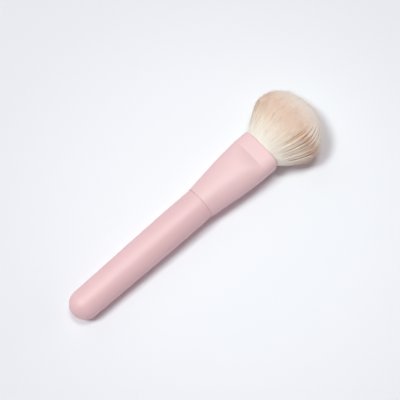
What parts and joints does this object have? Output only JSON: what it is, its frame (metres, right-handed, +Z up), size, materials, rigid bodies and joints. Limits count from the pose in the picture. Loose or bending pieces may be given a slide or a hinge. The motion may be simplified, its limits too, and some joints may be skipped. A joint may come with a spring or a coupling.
{
  "type": "makeup brush",
  "caption": "Full powder brush: turned round-butted handle, flared ferrule pinched flat at its mouth, and a splayed, domed oval tuft.",
  "frame": {"origin": "centre of the bounding box's bottom face, on the table that the brush lies on", "axes": "+X along the brush towards the tuft, +Y across its width, +Z up from the table"},
  "size_m": [0.166, 0.0434, 0.0255],
  "materials": {
    "handle_lacquer": "turned wood in satin pink lacquer",
    "ferrule_metal": "drawn aluminium in satin pink lacquer",
    "adhesive": "cured adhesive",
    "resin": "cured clear resin",
    "thread": "waxed thread",
    "hair": "soft cream hair, beige at the tips"
  },
  "bodies": {
    "root": {"handle": "handle_lacquer", "ferrule": "ferrule_metal", "handle_glue": "adhesive", "root_plug": "resin", "root_binding": "thread", "tuft": "hair"}
  },
  "joints": []
}
